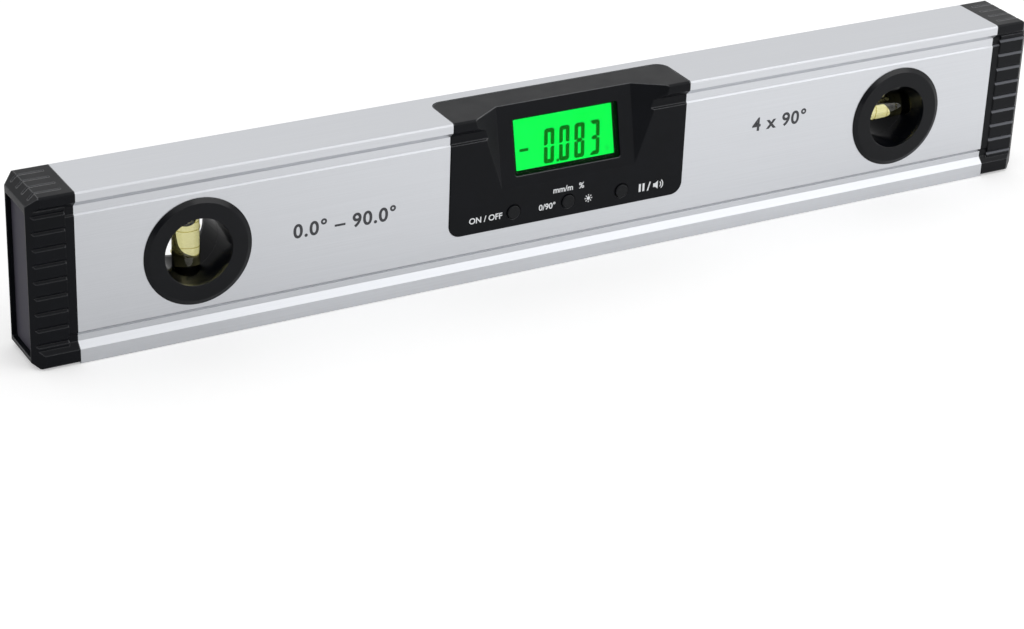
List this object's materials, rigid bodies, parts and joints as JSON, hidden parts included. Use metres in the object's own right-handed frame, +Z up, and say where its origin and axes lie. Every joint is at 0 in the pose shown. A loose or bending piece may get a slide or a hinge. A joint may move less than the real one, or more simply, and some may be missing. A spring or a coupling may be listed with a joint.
{
  "type": "digital spirit level",
  "caption": "Aluminium spirit level with a lit angle display, push buttons, a plumb vial, a level vial, end caps and a battery box that slides open at the rear.",
  "frame": {"origin": "middle of the base the level stands on", "axes": "+X along the level towards the level vial, -Y out of the face with the display, +Z up"},
  "size_m": [0.4, 0.025, 0.062],
  "materials": {
    "anodised_aluminium": "satin anodised",
    "black_abs": "fine moulded grain",
    "pad_rubber": "matte",
    "key_rubber": "matte",
    "clear_acrylic": "clear",
    "lcd_green": "backlit glass",
    "conductive_rubber": "matte",
    "guide_acrylic": "frosted",
    "led_body": "moulded",
    "board_green": "solder mask",
    "component_black": "moulded",
    "ribbon_film": "polyimide film",
    "plated_steel": "nickel plated",
    "cell_wrap": "satin sleeve",
    "magnet_nickel": "nickel plated",
    "vial_liquid": "clear liquid",
    "vial_air": "clear",
    "ring_black": "printed line"
  },
  "bodies": {
    "frame": {"profile": "anodised_aluminium", "end_cap_left": "black_abs", "end_cap_right": "black_abs", "end_pad_left": "pad_rubber", "end_pad_right": "pad_rubber", "display_housing": "black_abs", "display_window": "clear_acrylic", "lcd_glass": "lcd_green", "lcd_connector": "conductive_rubber", "light_guide": "guide_acrylic", "backlight_leds": "led_body", "main_board": "board_green", "main_chip": "component_black", "tilt_sensor": "component_black", "buzzer": "component_black", "key_board": "board_green", "key_switches": "component_black", "board_link": "ribbon_film", "board_screws": "plated_steel", "housing_screws": "plated_steel", "battery_box": "black_abs", "battery_cell_upper": "cell_wrap", "battery_cell_lower": "cell_wrap", "battery_contacts": "plated_steel", "base_magnets": "magnet_nickel", "plumb_bezel_front": "black_abs", "plumb_bezel_rear": "black_abs", "plumb_vial": "clear_acrylic", "plumb_plug": "clear_acrylic", "plumb_liquid": "vial_liquid", "plumb_rings": "ring_black", "level_bezel_front": "black_abs", "level_bezel_rear": "black_abs", "level_vial": "clear_acrylic", "level_plug": "clear_acrylic", "level_liquid": "vial_liquid", "level_rings": "ring_black"},
    "left_key": {"button_left": "key_rubber"},
    "middle_key": {"button_middle": "key_rubber"},
    "right_key": {"button_right": "key_rubber"},
    "door": {"battery_door": "black_abs"},
    "plumb_air": {"plumb_bubble": "vial_air"},
    "level_air": {"level_bubble": "vial_air"}
  },
  "joints": [
    {"name": "left_key_press", "type": "slide", "parent": "frame", "child": "left_key", "axis": [0, 1, 0], "range_m": [0, 0.0005], "stiffness_N_per_m": 300, "springref_m": -0.0005},
    {"name": "middle_key_press", "type": "slide", "parent": "frame", "child": "middle_key", "axis": [0, 1, 0], "range_m": [0, 0.0005], "stiffness_N_per_m": 300, "springref_m": -0.0005},
    {"name": "right_key_press", "type": "slide", "parent": "frame", "child": "right_key", "axis": [0, 1, 0], "range_m": [0, 0.0005], "stiffness_N_per_m": 300, "springref_m": -0.0005},
    {"name": "door_slide", "type": "slide", "parent": "frame", "child": "door", "axis": [1, 0, 0], "range_m": [0, 0.048]},
    {"name": "plumb_bubble_travel", "type": "slide", "parent": "frame", "child": "plumb_air", "axis": [0, 0, -1], "range_m": [0, 0.006], "stiffness_N_per_m": 10, "springref_m": -0.001},
    {"name": "level_bubble_travel", "type": "slide", "parent": "frame", "child": "level_air", "axis": [1, 0, 0], "range_m": [-0.0025, 0.0025], "stiffness_N_per_m": 10}
  ]
}
